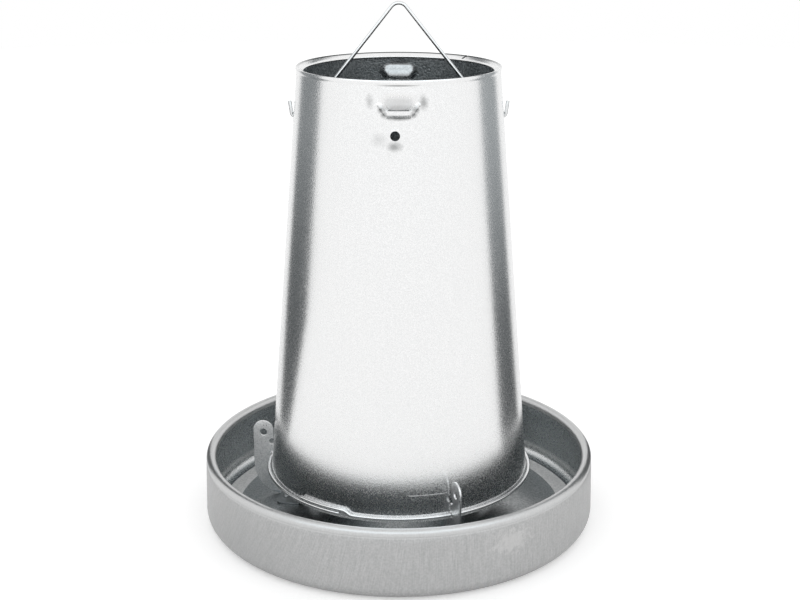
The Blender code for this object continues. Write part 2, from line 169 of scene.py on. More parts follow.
shape = bmesh.new()
bmesh.ops.create_circle(shape, cap_ends=True, segments=96, radius=FLOOR_RADIUS)
floor = object_from("floor", shape)
floor_paint, tree = bare_paint("floor_paint")
matte = add_node(tree, "ShaderNodeBsdfDiffuse", {"Color": FLOOR_GREY})
seen = maths(tree, "MULTIPLY", rays(tree, "Is Camera Ray"), FLOOR_GLOW_SEEN)
reflected = rays(tree, "Is Glossy Ray", "Is Transmission Ray")
lift = maths(tree, "MULTIPLY_ADD", reflected, FLOOR_GLOW_REFLECTED, seen)
glow = add_node(tree, "ShaderNodeEmission", {"Strength": lift})
both = add_node(tree, "ShaderNodeAddShader", {0: matte.outputs[0], 1: glow.outputs[0]})
add_node(tree, "ShaderNodeOutputMaterial", {"Surface": both.outputs[0]})
floor.data.materials.append(floor_paint)

for name, card in CARDS.items():
    low, high = card["heights"]
    knee = card.get("knee", (low + high) / 2)
    foot_span = card.get("foot_span", card["span"])
    shape = bmesh.new()
    rows = []
    for height, (start, end) in ((low, foot_span), (knee, card["span"]), (high, card["span"])):
        corners = []
        for step in range(CARD_FACETS + 1):
            angle = math.radians(start + (end - start) * step / CARD_FACETS)
            side, front = card["distance"] * math.sin(angle), card["distance"] * math.cos(angle)
            corners.append(shape.verts.new((side, -front, height)))
        rows.append([shape.edges.new(pair) for pair in zip(corners, corners[1:])])
    for lower, upper in zip(rows, rows[1:]):
        bmesh.ops.bridge_loops(shape, edges=lower + upper)
    panel = object_from(name, shape)
    card_paint, tree = bare_paint(name + "_paint")
    _, _, height = axes(tree, surface_place(tree))
    tone = card["tones"][0][1]
    for (first, lower), (last, higher) in zip(card["tones"], card["tones"][1:]):
        tone = maths(tree, "ADD", spread(tree, height, first, last, 0.0, higher - lower), tone)
    card_glow = add_node(tree, "ShaderNodeEmission", {"Color": CARD_COLOUR, "Strength": tone})
    add_node(tree, "ShaderNodeOutputMaterial", {"Surface": card_glow.outputs[0]})
    panel.data.materials.append(card_paint)
    panel.visible_camera = False
    panel.visible_diffuse = False
    panel.visible_shadow = False
    panel.visible_transmission = False


# Tray. One round pan of thin galvanized sheet, drawn on a press. Its rim is rolled inwards, and it
# stands on a narrow ring outside its slightly raised floor.
MM = 0.001
TRAY_STEPS = 224
TRAY_CURL = (195.0, 67.0, 5.0)
TRAY_WALL = [(199.5, 63.2), (200.0, 61.6), (200.3, 60.0), (200.6, 50.0), (201.2, 30.0)]
TRAY_CORNER = (188.1, 13.5, 13.5)
TRAY_STAND = [(186.2, 0.0), (184.4, 0.0), (183.8, 0.25), (183.2, 1.3)]
TRAY_FLOOR = 1.6
TRAY_FLOOR_RINGS = (182.4, 172.0, 160.0, 80.0, 0.0)
TRAY_SHEET = 1.0


def arc(centre_radius, centre_height, radius, start, end, count, tall=None):
    """Points (radius, height) of an arc, in millimetres and degrees; tall makes it an ellipse's."""
    rise = radius if tall is None else tall
    points = []
    for step in range(count + 1):
        angle = math.radians(start + (end - start) * step / count)
        points.append((centre_radius + radius * math.cos(angle), centre_height + rise * math.sin(angle)))
    return points


def turned(profile, steps):
    """A profile in millimetres spun round the Z axis, its outermost faces turned outwards."""
    shape = bmesh.new()
    corners = [shape.verts.new((radius * MM, 0.0, height * MM)) for radius, height in profile]
    edges = [shape.edges.new(pair) for pair in zip(corners, corners[1:])]
    bmesh.ops.spin(
        shape, geom=corners + edges, cent=(0, 0, 0), axis=(0, 0, 1),
        angle=math.tau, steps=steps, use_merge=True,
    )
    bmesh.ops.remove_doubles(shape, verts=shape.verts, dist=0.00001)
    bmesh.ops.recalc_face_normals(shape, faces=shape.faces)
    outer = max(shape.faces, key=lambda face: face.calc_center_median().xy.length)
    if outer.normal.dot(outer.calc_center_median()) < 0:
        bmesh.ops.reverse_faces(shape, faces=shape.faces)
    return shape


def evaluated_mesh(thing):
    """The mesh of an object or curve as its modifiers and settings make it."""
    bpy.context.view_layer.update()
    graph = bpy.context.evaluated_depsgraph_get()
    return bpy.data.meshes.new_from_object(thing.evaluated_get(graph), depsgraph=graph)


def baked(piece):
    """The piece with its modifiers applied to its mesh."""
    mesh = evaluated_mesh(piece)
    piece.modifiers.clear()
    piece.data = smoothed(mesh)
    return piece


def thickened(piece, thickness):
    """An open sheet given its thickness on the inner side."""
    sheet = piece.modifiers.new("sheet", "SOLIDIFY")
    sheet.thickness = thickness * MM
    sheet.offset = -1.0
    sheet.use_even_offset = True
    return baked(piece)


profile = arc(*TRAY_CURL, 240, -30, 26) + TRAY_WALL + arc(*TRAY_CORNER, 0, -90, 16) + TRAY_STAND
profile += [(radius, TRAY_FLOOR) for radius in TRAY_FLOOR_RINGS]
tray = object_from("tray", turned(profile, TRAY_STEPS))
thickened(tray, TRAY_SHEET)

# Finish of the tray. Zinc grain and drawing streaks are groups that every finish here can use. The
# outside has a shinier rim whose colour is painted brighter as a highlight, a darker patch at the left
# and a pale ragged stain at the front right.
NOISE_SPAN = (0.3, 0.7)
TRAY_GREYS = ((0.405, 0.408, 0.408), (0.555, 0.555, 0.555))
TRAY_ROUGH = (0.38, 0.50)
RIM_START = (0.0628, 0.0645)
RIM_HIGHLIGHT_GREY = (0.74, 0.745, 0.745)
# A darker patch at the left of the tray's wall.
LEFT_DARK_PATCH = ((-0.150, -0.134, 0.030), (0.10, 0.10, 0.05), 1.2, 30.0)
LEFT_DARK_GREY = (0.40, 0.405, 0.405)
STAIN = ((0.106, -0.1705, 0.0475), (0.027, 0.027, 0.0145), 3.3, 190.0)
STAIN_GREY = (0.66, 0.655, 0.65)


def group_of(name, inputs, outputs):
    """An empty shader node group with float inputs and outputs of the given kinds."""
    group = bpy.data.node_groups.new(name, "ShaderNodeTree")
    for socket, value in inputs.items():
        made = group.interface.new_socket(socket, in_out="INPUT", socket_type="NodeSocketFloat")
        made.default_value = value
    for socket, kind in outputs.items():
        group.interface.new_socket(socket, in_out="OUTPUT", socket_type=kind)
    return group, add_node(group, "NodeGroupInput"), add_node(group, "NodeGroupOutput")


def scaled_noise(tree, stretch, scale, detail, roughness=0.5):
    """Noise on Object coordinates that are stretched along each axis."""
    mapping = add_node(tree, "ShaderNodeMapping", {"Vector": surface_place(tree), "Scale": stretch})
    return add_node(
        tree, "ShaderNodeTexNoise",
        {"Vector": mapping.outputs[0], "Scale": scale, "Detail": detail, "Roughness": roughness},
    ).outputs["Fac"]


def stained(tree, spot, size, torn, scale=90.0):
    """A mask of 1 in a ragged patch round a spot, in metres, that fades out at its size."""
    place = surface_place(tree)
    apart = add_node(tree, "ShaderNodeVectorMath", {0: place, 1: spot}, operation="SUBTRACT").outputs[0]
    ratio = add_node(tree, "ShaderNodeVectorMath", {0: apart, 1: size}, operation="DIVIDE").outputs[0]
    reach = add_node(tree, "ShaderNodeVectorMath", {0: ratio}, operation="LENGTH").outputs["Value"]
    ragged = maths(tree, "MULTIPLY", scaled_noise(tree, (1.0, 1.0, 1.0), scale, 5.0, 0.65), torn)
    return spread(tree, maths(tree, "ADD", reach, ragged), 1.0 + torn * 0.5, torn * 0.5 + 0.2)


def mixed(tree, first, share, second):
    """Two values mixed: the first has the share, the second the rest."""
    rest = maths(tree, "MULTIPLY", second, 1.0 - share)
    return maths(tree, "ADD", maths(tree, "MULTIPLY", first, share), rest)


def tint(tree, share, first, second):
    """A colour between two by share; the first may be a grey or the colour made so far."""
    start = (*first, 1.0) if isinstance(first, tuple) else first
    return add_node(
        tree, "ShaderNodeMix", {0: share, 6: start, 7: (*second, 1.0)}, data_type="RGBA"
    ).outputs[2]


def tinted(tree, base, mask, strength, grey):
    """The colour made so far, tinted towards a grey where a mask is."""
    return tint(tree, maths(tree, "MULTIPLY", mask, strength), base, grey)


def new_finish(name):
    """A metal material, its tree and its shader."""
    material = bpy.data.materials.new(name)
    material.use_nodes = True
    shader = material.node_tree.nodes["Principled BSDF"]
    shader.inputs["Metallic"].default_value = 1.0
    return material, material.node_tree, shader


def coated(tree, shader, base, rough, normal=None):
    """Feed a shader its colour, roughness and surface normal."""
    tree.links.new(base, shader.inputs["Base Color"])
    tree.links.new(rough, shader.inputs["Roughness"])
    if normal is not None:
        tree.links.new(normal, shader.inputs["Normal"])


def fitted(piece, finish, body, slot, *nodes):
    """Give a piece its finish, the body that it rides on and the CAD nodes that it stands for."""
    piece.data.materials.clear()
    piece.data.materials.append(finish)
    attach(piece, body)
    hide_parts(*nodes)


def lined(piece, finish, top):
    """Give a second finish to a turned piece's faces that look inwards and lie below a height."""
    piece.data.materials.append(finish)
    for face in piece.data.polygons:
        outwards = Vector((face.center.x, face.center.y, 0.0)).normalized()
        if face.center.z < top and face.normal.dot(outwards) < -0.2:
            face.material_index = 1


# Fine grain of a hot-dipped zinc coat: specks well under a millimetre, and soft crystals of some
# millimetres that differ a little in tone.
SPECK_CONTRAST = (0.36, 0.64)
SPECK_DEPTH = 0.0004

zinc_grain, given, result = group_of(
    "zinc_grain",
    {"Speck Scale": 560.0, "Crystal Scale": 180.0, "Relief": 0.5},
    {"Specks": "NodeSocketFloat", "Crystals": "NodeSocketFloat", "Normal": "NodeSocketVector"},
)
place = surface_place(zinc_grain)
specks = add_node(
    zinc_grain, "ShaderNodeTexNoise",
    {"Vector": place, "Scale": given.outputs["Speck Scale"], "Detail": 1.0, "Roughness": 0.5},
).outputs["Fac"]
crystals = add_node(
    zinc_grain, "ShaderNodeTexVoronoi", {"Vector": place, "Scale": given.outputs["Crystal Scale"]},
    feature="F1",
)
crystal_tone = add_node(zinc_grain, "ShaderNodeSeparateColor", {"Color": crystals.outputs["Color"]})
relief = add_node(
    zinc_grain, "ShaderNodeBump",
    {"Height": specks, "Strength": given.outputs["Relief"], "Distance": SPECK_DEPTH},
)
zinc_grain.links.new(spread(zinc_grain, specks, *SPECK_CONTRAST), result.inputs["Specks"])
zinc_grain.links.new(crystal_tone.outputs[0], result.inputs["Crystals"])
zinc_grain.links.new(relief.outputs[0], result.inputs["Normal"])

# Drawing streaks: the long fine lines that a press leaves up the wall of a pan or a rolled sheet.
# They can lean over towards the left side.
LEAN_SIDE = (0.04, -0.14)

drawn_streaks, given, result = group_of(
    "drawn_streaks", {"Width Scale": 900.0, "Length Share": 0.02, "Lean": 0.0},
    {"Streaks": "NodeSocketFloat"},
)
place = surface_place(drawn_streaks)
x, _, z = axes(drawn_streaks, place)
side = spread(drawn_streaks, x, *LEAN_SIDE)
lean = maths(drawn_streaks, "MULTIPLY", maths(drawn_streaks, "MULTIPLY", side, given.outputs["Lean"]), z)
twisted = add_node(
    drawn_streaks, "ShaderNodeVectorRotate", {"Vector": place, "Angle": lean}, rotation_type="Z_AXIS"
)
x, y, z = axes(drawn_streaks, twisted.outputs[0])
shortened = maths(drawn_streaks, "MULTIPLY", z, given.outputs["Length Share"])
lines = add_node(drawn_streaks, "ShaderNodeCombineXYZ", {0: x, 1: y, 2: shortened}).outputs[0]
streaks = add_node(
    drawn_streaks, "ShaderNodeTexNoise",
    {"Vector": lines, "Scale": given.outputs["Width Scale"], "Detail": 2.0},
).outputs["Fac"]
drawn_streaks.links.new(spread(drawn_streaks, streaks, *NOISE_SPAN), result.inputs["Streaks"])

tray_finish, tree, shader = new_finish("tray_finish")
grain = add_node(tree, "ShaderNodeGroup", {"Speck Scale": 520.0, "Relief": 0.45}, node_tree=zinc_grain)
lines = add_node(tree, "ShaderNodeGroup", {"Length Share": 0.05, "Lean": -3.0}, node_tree=drawn_streaks)
cloud = scaled_noise(tree, (1.0, 1.0, 1.0), 14.0, 3.0)
tone = mixed(tree, lines.outputs["Streaks"], 0.6, grain.outputs["Specks"])
_, _, height = axes(tree, surface_place(tree))
rim_part = spread(tree, height, *RIM_START)
stain = spread(tree, stained(tree, *STAIN), 0.1, 0.75)
base = tint(tree, tone, *TRAY_GREYS)
base = tinted(tree, base, stained(tree, *LEFT_DARK_PATCH), 0.35, LEFT_DARK_GREY)
base = tinted(tree, base, stain, 0.52, STAIN_GREY)
# Painted highlight: the rim's colour is tinted brighter; the lower roughness below is the shinier rolled
# edge.
base = tinted(tree, base, rim_part, 0.5, RIM_HIGHLIGHT_GREY)
rough = spread(tree, maths(tree, "ADD", tone, cloud), 0.4, 1.6, *TRAY_ROUGH)
rough = maths(tree, "MULTIPLY_ADD", rim_part, -0.08, rough)
coated(tree, shader, base, rough, grain.outputs["Normal"])
fitted(tray, tray_finish, "tray", "tray_sheet", "tray_pan")

# Inside of the tray. It is shinier, and painted darker than the outside for the shade in the pan, with
# a painted highlight in a band where the wall turns into the floor, a painted dark line of shade at the
# floor's edge, and a matte floor that the feed has scoured.
INSIDE_TOP = 0.0605
TRAY_INSIDE_SHADE_GREYS = ((0.27, 0.298, 0.31), (0.46, 0.49, 0.50))
INSIDE_ROUGH = (0.22, 0.34)
CORNER_HIGHLIGHT_BAND = (0.0030, 0.0055, 0.0120, 0.0170)
CORNER_HIGHLIGHT_GREY = (0.82, 0.83, 0.83)
FLOOR_EDGE_SHADE_BAND = (0.1890, 0.1900, 0.1910, 0.1922)
FLOOR_EDGE_SHADE_GREY = (0.10, 0.105, 0.11)
SCOURED_EDGE = (0.1900, 0.1893)
SCOURED_GREY = (0.95, 0.95, 0.945)


def band(tree, value, start, full, fading, end):
    """1 where a value lies between full and fading, and 0 before start and past end."""
    return maths(tree, "MULTIPLY", spread(tree, value, start, full), spread(tree, value, end, fading))


tray_inside_finish, tree, shader = new_finish("tray_inside_finish")
grain = add_node(tree, "ShaderNodeGroup", {"Relief": 0.5}, node_tree=zinc_grain)
lines = add_node(tree, "ShaderNodeGroup", {"Length Share": 0.05}, node_tree=drawn_streaks)
x, y, height = axes(tree, surface_place(tree))
flat = add_node(tree, "ShaderNodeCombineXYZ", {0: x, 1: y}).outputs[0]
radius = add_node(tree, "ShaderNodeVectorMath", {0: flat}, operation="LENGTH").outputs["Value"]
floor_part = spread(tree, radius, *SCOURED_EDGE)
scoured = maths(tree, "MULTIPLY", floor_part, spread(tree, grain.outputs["Specks"], 0.0, 1.0, 0.72, 1.0))
tone = mixed(tree, lines.outputs["Streaks"], 0.3, grain.outputs["Specks"])
# Painted shade: the inside's greys are darker than the outside's.
base = tint(tree, tone, *TRAY_INSIDE_SHADE_GREYS)
# Painted highlight in a band where the wall turns into the floor.
base = tinted(tree, base, band(tree, height, *CORNER_HIGHLIGHT_BAND), 0.75, CORNER_HIGHLIGHT_GREY)
# Painted shade: a dark line at the floor's edge.
base = tinted(tree, base, band(tree, radius, *FLOOR_EDGE_SHADE_BAND), 0.8, FLOOR_EDGE_SHADE_GREY)
base = tint(tree, scoured, base, SCOURED_GREY)
tree.links.new(maths(tree, "MULTIPLY_ADD", floor_part, -0.92, 1.0), shader.inputs["Metallic"])
rough = maths(tree, "MULTIPLY_ADD", floor_part, 0.3, spread(tree, tone, 0.0, 1.0, *INSIDE_ROUGH))
coated(tree, shader, base, rough, grain.outputs["Normal"])
lined(tray, tray_inside_finish, INSIDE_TOP)
for face in tray.data.polygons:
    if face.center.z < INSIDE_TOP and face.normal.z > 0.3:
        face.material_index = 1


# Spreader cone. A pressed disc of smoother sheet on the tray floor that sends the feed outwards: a
# flat edge, a shallow skirt, a flat land for the brackets' feet and a steep middle cone.
CONE_STEPS = 160
CONE_SHEET = 0.8
CONE_TIP = [(0.0, 66.0), (3.0, 65.8), (7.0, 64.4), (10.5, 62.0), (13.6, 59.4)]
CONE_SLOPE = [(40.0, 42.4), (70.0, 23.0), (90.0, 10.2), (93.4, 8.2), (96.4, 6.9), (99.0, 6.4)]
CONE_LAND = [(110.0, 6.4), (128.0, 6.4), (130.4, 6.3)]
CONE_SKIRT = [(145.0, 5.1), (160.0, 3.8), (161.6, 3.7), (170.0, 3.7)]
CONE_GREYS = ((0.33, 0.345, 0.35), (0.52, 0.53, 0.535))
CONE_ROUGH = (0.24, 0.36)

cone = object_from("cone", turned(CONE_TIP + CONE_SLOPE + CONE_LAND + CONE_SKIRT, CONE_STEPS))
thickened(cone, CONE_SHEET)

cone_finish, tree, shader = new_finish("cone_finish")
grain = add_node(tree, "ShaderNodeGroup", {"Relief": 0.2}, node_tree=zinc_grain)
cloud = scaled_noise(tree, (1.0, 1.0, 1.0), 22.0, 4.0)
base = tint(tree, grain.outputs["Specks"], *CONE_GREYS)
rough = spread(tree, cloud, *NOISE_SPAN, *CONE_ROUGH)
coated(tree, shader, base, rough, grain.outputs["Normal"])
fitted(cone, cone_finish, "tray", "cone_sheet", "spreader_cone")


# Rivets of the cone. Three small domed rivets of plated steel through the cone's flat edge and the
# tray floor, set with a flattened tail below.
CONE_RIVETS = {"cone_rivet_1": 112.2, "cone_rivet_2": 232.2, "cone_rivet_3": 352.2}
CONE_RIVET_CIRCLE = 165.5
CONE_RIVET_HEIGHTS = (4.0, 1.3)
RIVET_HEAD = (3.55, 1.8)
RIVET_HEAD_EDGE = 3.5
RIVET_SHANK = 1.6
RIVET_TAIL = [(2.6, 0.0), (2.5, -0.6), (2.1, -0.9), (0.0, -0.9)]
RIVET_STEPS = 28
RIVET_GREYS = ((0.58, 0.59, 0.60), (0.74, 0.75, 0.75))
RIVET_ROUGH = (0.22, 0.36)


def swung(shape, degrees, axis="Z"):
    """Turn a whole bmesh about an axis through the origin."""
    turn = Matrix.Rotation(math.radians(degrees), 3, axis)
    bmesh.ops.rotate(shape, cent=(0, 0, 0), matrix=turn, verts=shape.verts)
    return shape


def rivet_shape(radius, azimuth, across, head, tail):
    """A rivet standing at a radius and azimuth, its head on one height and its tail under another."""
    wide, tall = RIVET_HEAD
    profile = [(0.0, head + tall)] + arc(0.0, head, wide, 70, 6, 8, tall)
    profile += [(RIVET_HEAD_EDGE, head), (RIVET_SHANK, head), (RIVET_SHANK, tail)]
    profile += [(out, tail + up) for out, up in RIVET_TAIL]
    shape = turned(profile, RIVET_STEPS)
    bmesh.ops.translate(shape, vec=(radius * MM, across * MM, 0.0), verts=shape.verts)
    return swung(shape, azimuth)


rivet_finish, tree, shader = new_finish("rivet_finish")
cloud = scaled_noise(tree, (1.0, 1.0, 1.0), 400.0, 3.0)
rough = spread(tree, cloud, *NOISE_SPAN, *RIVET_ROUGH)
coated(tree, shader, tint(tree, cloud, *RIVET_GREYS), rough)
for node, azimuth in CONE_RIVETS.items():
    name = node.replace("cone_rivet", "cone_stud")
    rivet = object_from(name, rivet_shape(CONE_RIVET_CIRCLE, azimuth, 0.0, *CONE_RIVET_HEIGHTS))
    fitted(rivet, rivet_finish, "tray", "cone_rivets", node)


# Brackets. Three plates of galvanized steel on edge, punched with an eye, two open notches for the
# ring and a long lower arm, each with a foot folded to one side and riveted to the cone.
BRACKETS = {"left": 172.2, "front": 292.2, "rear": 52.2}
# Metallic share of each plate: the same zinc renders lighter on the left and darker at the front, painted
# light and shade.
PLATE_SHADING_METALLIC = {"left": 0.4, "front": 0.97, "rear": 0.7}
PLATE_HALF = 1.0
PLATE_ROUNDING = 0.28
PLATE_ARM_END = (98.0, 6.7)
PLATE_BACK = (125.5, 40.5, 30.0, -90.0, 0.0, 18, 33.8)
PLATE_TOP = (144.85, 78.85, 10.65, 0, 180, 28)
PLATE_EYE = (144.85, 76.6, 3.9, 0, 352.5, 47)
PLATE_HEEL = [(134.2, 46.2), (127.2, 46.2)]
PLATE_HOLLOW = (98.0, 46.2, 29.2, -12.0, -90.0, 10, 22.2)
NOTCH_CENTRES = (66.3, 51.8)
NOTCH_ARC = (3.3, 119, -119, 18)
RING_RADIUS = 135.8
FOOT_SIZE = (0.027, 0.027, 0.002)
FOOT_PLACE = (0.1135, 0.0125, 0.0077)
FOOT_CORNER = 0.004
FOOT_TOP = (0.0100, 0.0090)
PLATE_GREYS = ((0.70, 0.71, 0.715), (0.88, 0.885, 0.885))
PLATE_ROUGH = (0.26, 0.40)
FLECK_EDGE = (0.66, 0.72)
FLECK_GREY = (0.16, 0.165, 0.17)
# Painted shade: the folded foot, under the hopper's foot, is darker.
FOOT_SHADE_GREY = (0.40, 0.41, 0.415)
CLOSE = 0.000002


def filled(curve):
    """The solid that a curve describes, as a bmesh with its doubles merged."""
    holder = bpy.data.objects.new("curve", curve)
    bpy.context.scene.collection.objects.link(holder)
    mesh = evaluated_mesh(holder)
    bpy.data.objects.remove(holder, do_unlink=True)
    shape = bmesh.new()
    shape.from_mesh(mesh)
    bmesh.ops.remove_doubles(shape, verts=shape.verts, dist=CLOSE)
    return shape


def plate_mesh():
    """The flat plate with its eye and softened edges, made upright: X outwards, Y through it."""
    outline = [PLATE_ARM_END] + arc(*PLATE_BACK) + arc(*PLATE_TOP)
    for height in NOTCH_CENTRES:
        outline += arc(RING_RADIUS, height, *NOTCH_ARC)
    outline += PLATE_HEEL + arc(*PLATE_HOLLOW)
    curve = bpy.data.curves.new("plate", "CURVE")
    curve.dimensions = "2D"
    curve.fill_mode = "BOTH"
    curve.extrude = (PLATE_HALF - PLATE_ROUNDING) * MM
    curve.bevel_depth = PLATE_ROUNDING * MM
    curve.bevel_resolution = 2
    curve.offset = -PLATE_ROUNDING * MM
    for points in (outline, arc(*PLATE_EYE)):
        spline = curve.splines.new("POLY")
        spline.points.add(len(points) - 1)
        for point, (out, up) in zip(spline.points, points):
            point.co = (out * MM, up * MM, 0.0, 1.0)
        spline.use_cyclic_u = True
    return swung(filled(curve), 90, "X")


for side, azimuth in BRACKETS.items():
    plate_finish, tree, shader = new_finish(f"plate_finish_{side}")
    grain = add_node(tree, "ShaderNodeGroup", {"Relief": 0.4}, node_tree=zinc_grain)
    cloud = scaled_noise(tree, (1.0, 1.0, 0.35), 160.0, 4.0)
    flecks = scaled_noise(tree, (1.0, 1.0, 1.0), 420.0, 3.0)
    _, _, height = axes(tree, surface_place(tree))
    foot_part = spread(tree, height, *FOOT_TOP)
    base = tint(tree, grain.outputs["Specks"], *PLATE_GREYS)
    base = tint(tree, spread(tree, flecks, *FLECK_EDGE), base, FLECK_GREY)
    base = tint(tree, foot_part, base, FOOT_SHADE_GREY)
    # Painted light and shade: each side's own metallic share, full on the foot.
    bright = maths(tree, "MULTIPLY_ADD", foot_part, 1.0 - PLATE_SHADING_METALLIC[side], PLATE_SHADING_METALLIC[side])
    tree.links.new(bright, shader.inputs["Metallic"])
    rough = spread(tree, cloud, *NOISE_SPAN, *PLATE_ROUGH)
    coated(tree, shader, base, rough, grain.outputs["Normal"])

    shape = plate_mesh()
    foot = bmesh.new()
    bmesh.ops.create_cube(foot, size=1.0)
    bmesh.ops.scale(foot, vec=FOOT_SIZE, verts=foot.verts)
    bmesh.ops.translate(foot, vec=FOOT_PLACE, verts=foot.verts)
    upright = [edge for edge in foot.edges if abs(edge.verts[0].co.z - edge.verts[1].co.z) > 0.001]
    bmesh.ops.bevel(
        foot, geom=[edge for edge in upright if edge.verts[0].co.y > 0.01],
        offset=FOOT_CORNER, segments=5, profile=0.5, affect="EDGES", material=-1,
    )
    foot_mesh = bpy.data.meshes.new("foot")
    foot.to_mesh(foot_mesh)
    foot.free()
    shape.from_mesh(foot_mesh)
    bracket = object_from(f"bracket_{side}", swung(shape, azimuth))
    fitted(bracket, plate_finish, "tray", "bracket_plate", f"adjuster_bracket_{side}")


# Rivets of the brackets. Two small plated rivets through each folded foot and the land of the cone,
# of the same kind and set in the same way as the cone's own.
FOOT_RIVET_RADII = (105.0, 119.0)
FOOT_RIVET_ACROSS = 11.0
FOOT_RIVET_HEIGHTS = (9.0, 5.3)

for side, azimuth in BRACKETS.items():
    for number, radius in enumerate(FOOT_RIVET_RADII, 1):
        shape = rivet_shape(radius, azimuth, FOOT_RIVET_ACROSS, *FOOT_RIVET_HEIGHTS)
        stud = object_from(f"foot_stud_{side}_{number}", shape)
        fitted(stud, rivet_finish, "tray", "bracket_rivets", f"bracket_rivet_{side}_{number}")


# Retaining ring. One length of bright spring wire, bent round the hopper's foot and held in the
# notches of the brackets, with its cut ends lapped one over the other at the front left.
RING_WIRE = 1.9
RING_HEIGHT = 51.8
RING_UPPER = 55.9
RING_START = 224.4
RING_END = 605.9
RING_DIP_START = 246.4
RING_DIP_LENGTH = 4.2
RING_STEP = 1.5
RING_DIP_STEP = 0.7
WIRE_END = ((0.0, 0.72), (0.12, 0.93), (0.3, 1.0))
WIRE_GREYS = ((0.70, 0.71, 0.715), (0.86, 0.865, 0.865))
WIRE_ROUGH = (0.14, 0.26)


def wire_shape(points, radius):
    """A wire with slightly rounded cut ends, as a mesh swept along points in metres."""
    curve = bpy.data.curves.new("wire", "CURVE")
    curve.dimensions = "3D"
    curve.bevel_depth = radius * MM
    curve.bevel_resolution = 6
    curve.use_fill_caps = True
    start, end = Vector(points[0]), Vector(points[-1])
    back = (Vector(points[1]) - start).normalized() * radius * MM
    ahead = (end - Vector(points[-2])).normalized() * radius * MM
    path = [(start + back * depth, share) for depth, share in WIRE_END]
    path += [(Vector(point), 1.0) for point in points[1:-1]]
    path += [(end - ahead * depth, share) for depth, share in reversed(WIRE_END)]
    spline = curve.splines.new("POLY")
    spline.points.add(len(path) - 1)
    for point, (spot, share) in zip(spline.points, path):
        point.co = (*spot, 1.0)
        point.radius = share
    shape = filled(curve)
    bmesh.ops.recalc_face_normals(shape, faces=shape.faces)
    return shape


points = []
azimuth = RING_START
while azimuth < RING_END:
    dip = min(max((azimuth - RING_DIP_START) / RING_DIP_LENGTH, 0.0), 1.0)
    height = RING_UPPER + (RING_HEIGHT - RING_UPPER) * (0.5 - 0.5 * math.cos(math.pi * dip))
    angle = math.radians(azimuth)
    points.append((RING_RADIUS * MM * math.cos(angle), RING_RADIUS * MM * math.sin(angle), height * MM))
    azimuth += RING_DIP_STEP if 0.0 < dip < 1.0 else RING_STEP
ring = object_from("ring", wire_shape(points, RING_WIRE))

wire_finish, tree, shader = new_finish("wire_finish")
dull = scaled_noise(tree, (1.0, 1.0, 1.0), 260.0, 4.0)
pits = scaled_noise(tree, (1.0, 1.0, 1.0), 1500.0, 2.0)
ripple = add_node(tree, "ShaderNodeBump", {"Height": pits, "Strength": 0.1, "Distance": 0.0002})
base = tint(tree, dull, *WIRE_GREYS)
coated(tree, shader, base, spread(tree, dull, *NOISE_SPAN, *WIRE_ROUGH), ripple.outputs[0])
fitted(ring, wire_finish, "ring", "ring_wire", "retaining_ring")


# Hopper. One sheet of bright galvanized steel rolled to a cone and locked at a side seam, with a
# curled rim, a hem at the foot, a pressed and slit lug at the front and back, and four neck holes.
HOPPER_STEPS = 200
HOPPER_SHEET = 0.8
HOPPER_RIM = [
    (93.6, 460.7), (92.6, 460.8), (91.9, 461.3), (91.7, 462.0), (92.1, 462.8), (93.2, 463.7),
    (94.6, 464.6), (96.0, 465.4), (97.2, 466.05), (98.1, 466.35), (98.8, 466.15), (99.15, 465.5),
    (99.2, 464.6), (99.1, 463.6), (98.8, 462.6),
]
NECK = (98.4, 461.8)
SKIRT = (132.5, 57.0)
HOPPER_HEM = [
    SKIRT, (132.75, 56.0), (133.0, 54.6), (133.25, 47.6), (133.05, 46.8), (132.5, 46.5), (131.7, 46.6),
]
SEAM_AZIMUTH = 46.0
SEAM_HALF = 4.5
SEAM_PROUD = 0.7
SEAM_HEIGHTS = (56.0, 461.0)
SEAM_CUTS = (-4.8, -4.65, -4.25, 0.0, 3.0, 3.8, 4.6)
SEAM_NOTCH = (0.0095, 0.0024, 0.008)
SEAM_NOTCH_PLACE = (0.0942, 0.0, 0.4672)
SEAM_NOTCH_TURN = -24
HOLE_HEIGHT = 416.8
HOLE_RADIUS = 4.5
HOLE_AZIMUTHS = (0.0, 90.0, 180.0, 268.2)
HOLE_HEIGHTS = (407.0, 426.5)
HOLE_CUTS = [0.9 * step for step in range(-9, 10)]
HOLE_ROWS = [
    428.0, 426.0, 424.4, 423.0, 421.8, 420.6, 419.4, 418.2, 416.8, 415.4, 414.2, 413.0, 411.8, 410.6,
    409.2, 407.0,
]
LUG_AZIMUTHS = (90.0, 270.0)
LUG_HEIGHTS = (430.0, 461.3)
LUG_CUTS = [0.75 * step for step in range(-28, 29)]
LUG_PANEL_DEPTH = 4.4
LUG_PANEL_ENDS = (18.5, 9.5)
LUG_PANEL_FADE = [
    (441.6, 1.0), (443.6, 0.97), (446.0, 0.78), (450.0, 0.32), (452.6, 0.08), (455.0, 0.0),
]
LUG_PANEL_SAG = 2.7
LUG_PANEL_SAG_ENDS = (13.5, 9.5)
LUG_PANEL_SAG_TOP = 448.0
LUG_BOW_DEPTH = 3.9
LUG_BOW_ENDS = (20.5, 17.0)
LUG_BOW_FOOT = 431.6
LUG_BOW_FOOT_RISE = 11.2
LUG_BOW_FOOT_ENDS = (10.5, 19.5)
LUG_BOW_SLOPE = 5.2
LUG_BOW_SLOPE_SHARE = 0.62
LUG_TIP = 19.0
LUG_TIP_RISE = 3.4
LUG_BLEND = (0.05, 2.4, 5.0)
SLIT = (439.8, 441.6)
SLIT_HALF = 10.0


def wall_radius(height):
    """Outer radius of the hopper's straight wall at a height, both in millimetres."""
    return SKIRT[0] + (NECK[0] - SKIRT[0]) * (height - SKIRT[1]) / (NECK[1] - SKIRT[1])


